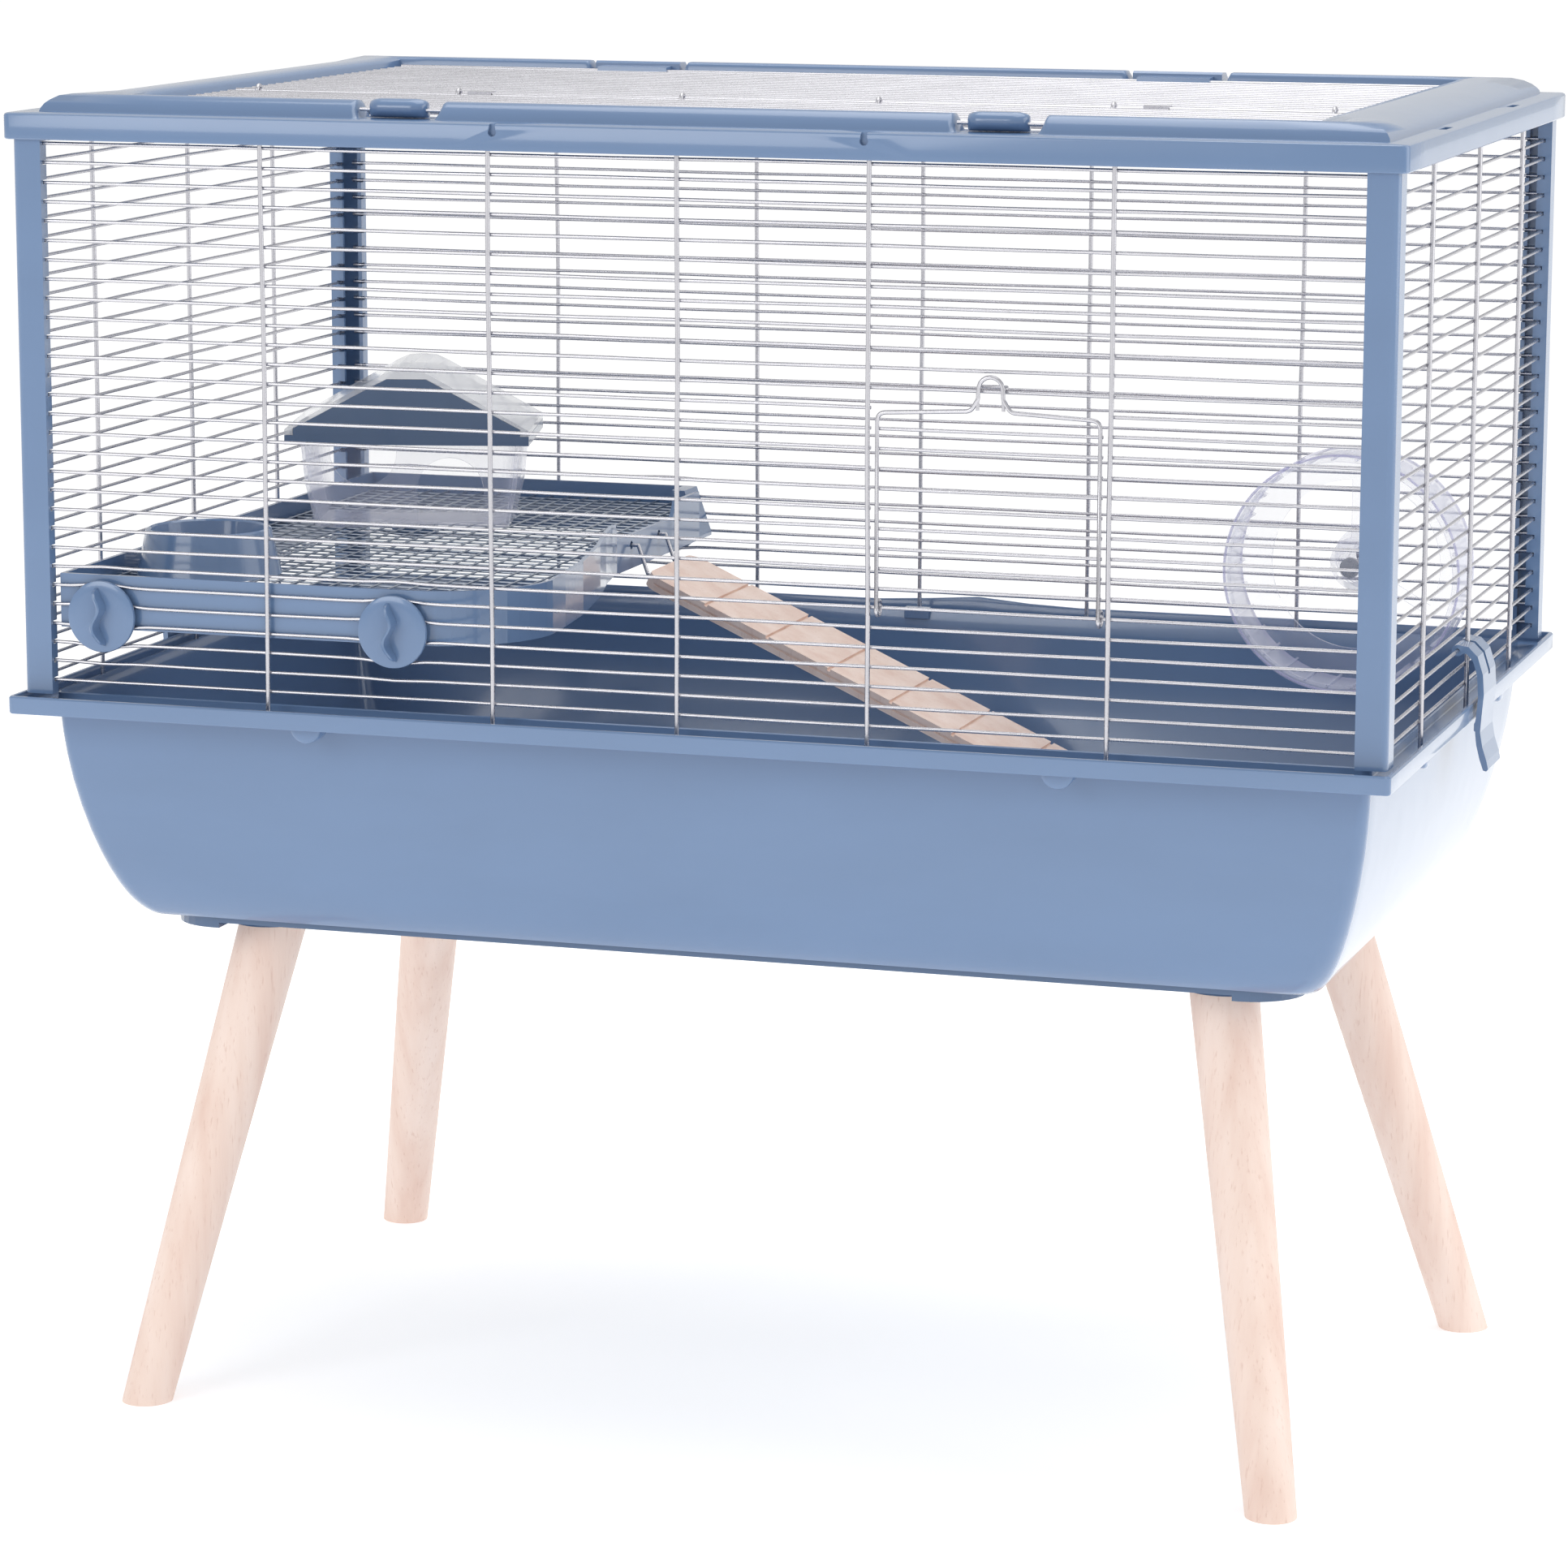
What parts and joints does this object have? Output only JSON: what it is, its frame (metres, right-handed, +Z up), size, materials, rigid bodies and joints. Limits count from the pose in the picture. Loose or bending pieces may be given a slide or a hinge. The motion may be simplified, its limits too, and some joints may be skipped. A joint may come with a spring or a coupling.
{
  "type": "small rodent cage on legs",
  "caption": "Wire cage for small rodents on splayed wooden legs, with a blue plastic bin and roof frame, a shelf with a mesh floor, a ramp, a house, a bowl and a wheel.",
  "frame": {"origin": "middle of the bounding box on the floor", "axes": "+X to the right seen from the front, +Y to the back, +Z up"},
  "size_m": [0.7932, 0.4946, 0.7431],
  "materials": {
    "blue_plastic": "satin",
    "dark_plastic": "satin",
    "bright_wire": "bright zinc plate",
    "shelf_steel": "zinc plate",
    "beech": "raw, sanded",
    "clear_plastic": "clear, gloss"
  },
  "bodies": {
    "stand": {"stand_plate": "dark_plastic", "leg_front_left": "beech", "leg_front_right": "beech", "leg_back_left": "beech", "leg_back_right": "beech", "leg_screws": "bright_wire"},
    "bin": {"bin": "blue_plastic"},
    "cage": {"roof_frame": "blue_plastic", "post_front_left": "blue_plastic", "post_front_right": "blue_plastic", "post_back_left": "blue_plastic", "post_back_right": "blue_plastic", "panel_front": "bright_wire", "panel_back": "bright_wire", "panel_left": "bright_wire", "panel_right": "bright_wire", "lid_hinges": "blue_plastic", "latch_pins": "bright_wire", "shelf_tray": "blue_plastic", "shelf_mesh": "shelf_steel", "wheel_axle": "bright_wire", "wheel_bracket": "clear_plastic", "wheel_clamp": "clear_plastic", "wheel_nut": "dark_plastic", "bottle_bracket": "blue_plastic"},
    "roof_lid": {"lid_rear": "bright_wire", "lid_clips": "bright_wire"},
    "roof_flap": {"lid_front": "bright_wire"},
    "latch_left": {"latch_left": "blue_plastic"},
    "latch_right": {"latch_right": "blue_plastic"},
    "door": {"door": "bright_wire"},
    "clip_left": {"clip_left": "blue_plastic"},
    "clip_right": {"clip_right": "blue_plastic"},
    "knob_front_left": {"knob_front_left": "blue_plastic"},
    "knob_front_right": {"knob_front_right": "blue_plastic"},
    "knob_back_left": {"knob_back_left": "blue_plastic"},
    "knob_back_right": {"knob_back_right": "blue_plastic"},
    "ramp": {"ramp_board": "beech", "ramp_hooks": "bright_wire"},
    "bowl": {"bowl": "blue_plastic"},
    "house": {"house_base": "clear_plastic"},
    "house_roof": {"house_roof": "clear_plastic", "house_gable": "dark_plastic"},
    "wheel": {"wheel": "clear_plastic"}
  },
  "joints": [
    {"name": "bin_lift", "type": "slide", "parent": "stand", "child": "bin", "axis": [0, 0, 1], "range_m": [0, 0.1]},
    {"name": "cage_lift", "type": "slide", "parent": "bin", "child": "cage", "axis": [0, 0, 1], "range_m": [0, 0.15]},
    {"name": "lid_hinge", "type": "hinge", "parent": "cage", "child": "roof_lid", "pos_m": [0, 0.197, 0.7362], "axis": [-1, 0, 0], "range_deg": [0, 105]},
    {"name": "flap_hinge", "type": "hinge", "parent": "roof_lid", "child": "roof_flap", "pos_m": [0, -0.058, 0.7362], "axis": [-1, 0, 0], "range_deg": [0, 120]},
    {"name": "latch_left_turn", "type": "hinge", "parent": "cage", "child": "latch_left", "pos_m": [-0.166, -0.2105, 0.7373], "axis": [1, 0, 0], "range_deg": [0, 25]},
    {"name": "latch_right_turn", "type": "hinge", "parent": "cage", "child": "latch_right", "pos_m": [0.167, -0.2105, 0.7373], "axis": [1, 0, 0], "range_deg": [0, 25]},
    {"name": "door_hinge", "type": "hinge", "parent": "cage", "child": "door", "pos_m": [0.1694, -0.23005, 0.48397], "axis": [1, 0, 0], "range_deg": [0, 140]},
    {"name": "clip_left_turn", "type": "hinge", "parent": "cage", "child": "clip_left", "pos_m": [-0.37805, -0.007, 0.44174], "axis": [0, 1, 0], "range_deg": [0, 60]},
    {"name": "clip_right_turn", "type": "hinge", "parent": "cage", "child": "clip_right", "pos_m": [0.37805, 0.003, 0.44174], "axis": [0, -1, 0], "range_deg": [0, 60]},
    {"name": "knob_front_left_turn", "type": "hinge", "parent": "cage", "child": "knob_front_left", "pos_m": [-0.336, -0.234, 0.45758], "axis": [0, 1, 0], "range_deg": [0, 90]},
    {"name": "knob_front_right_turn", "type": "hinge", "parent": "cage", "child": "knob_front_right", "pos_m": [-0.164, -0.234, 0.45758], "axis": [0, 1, 0], "range_deg": [0, 90]},
    {"name": "knob_back_left_turn", "type": "hinge", "parent": "cage", "child": "knob_back_left", "pos_m": [-0.336, 0.234, 0.45758], "axis": [0, 1, 0], "range_deg": [0, 90]},
    {"name": "knob_back_right_turn", "type": "hinge", "parent": "cage", "child": "knob_back_right", "pos_m": [-0.164, 0.234, 0.45758], "axis": [0, 1, 0], "range_deg": [0, 90]},
    {"name": "ramp_hinge", "type": "hinge", "parent": "cage", "child": "ramp", "pos_m": [-0.13675, 0.106, 0.464], "axis": [0, -1, 0], "range_deg": [0, 24]},
    {"name": "bowl_lift", "type": "slide", "parent": "cage", "child": "bowl", "axis": [0, 0, 1], "range_m": [0, 0.04]},
    {"name": "house_lift", "type": "slide", "parent": "cage", "child": "house", "axis": [0, 0, 1], "range_m": [0, 0.04]},
    {"name": "house_roof_lift", "type": "slide", "parent": "house", "child": "house_roof", "axis": [0, 0, 1], "range_m": [0, 0.03]},
    {"name": "wheel_turn", "type": "hinge", "parent": "cage", "child": "wheel", "pos_m": [0.2775, 0.173, 0.4557], "axis": [0, 1, 0], "continuous": true}
  ]
}
